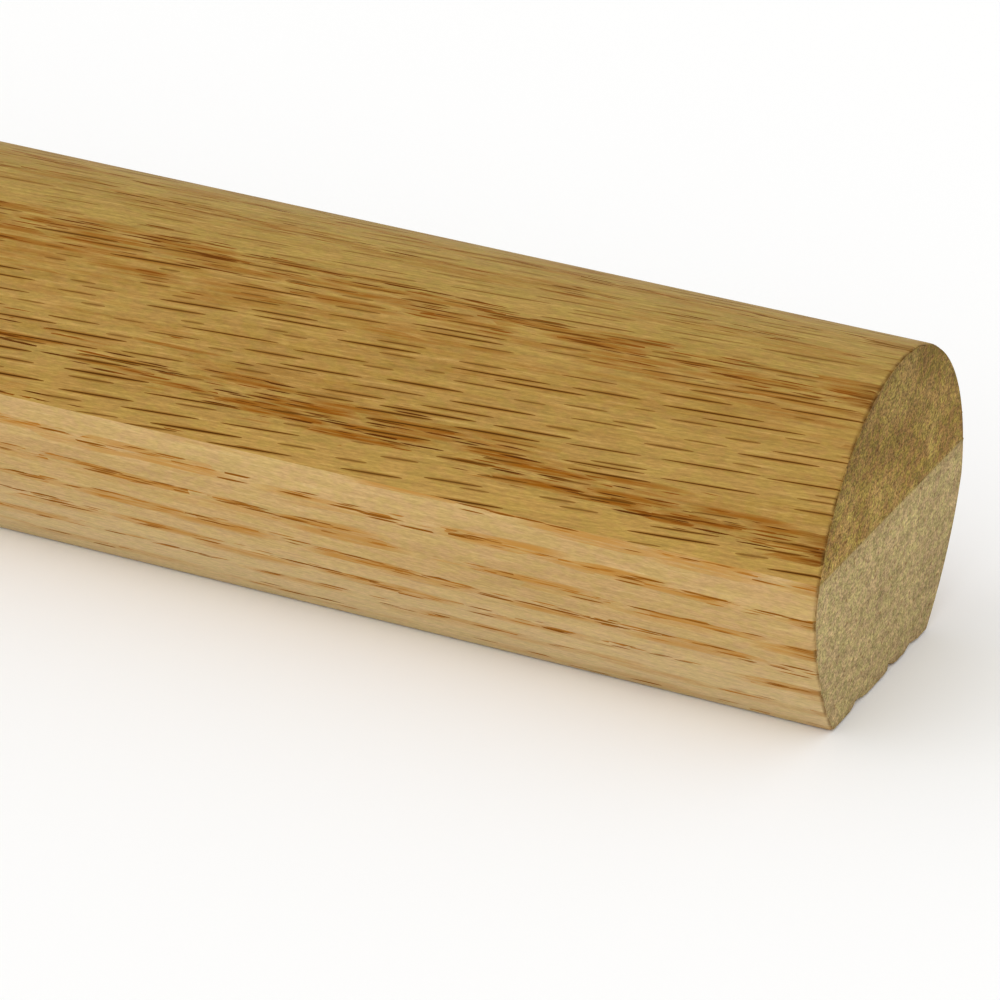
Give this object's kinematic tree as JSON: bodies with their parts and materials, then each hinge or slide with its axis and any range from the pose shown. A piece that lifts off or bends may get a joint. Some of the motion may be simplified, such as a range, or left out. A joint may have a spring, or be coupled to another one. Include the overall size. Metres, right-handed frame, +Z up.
{
  "type": "stair sub rail",
  "caption": "Loaf-section oak stair rail stock, laminated, with a flat underside, bowed lower sides, a rounded crown and square sawn ends, for fixing to brackets or butting to posts.",
  "frame": {"origin": "middle of the flat underside, half way along the rail", "axes": "+X along the rail, +Y across it, +Z up from the underside to the crown"},
  "size_m": [2.4384, 0.0428, 0.0381],
  "materials": {
    "oak_lower": "planed, unfinished red oak, the paler board",
    "oak_upper": "planed, unfinished red oak, the darker board"
  },
  "bodies": {
    "root": {"lower_lamination": "oak_lower", "upper_lamination": "oak_upper"}
  },
  "joints": []
}
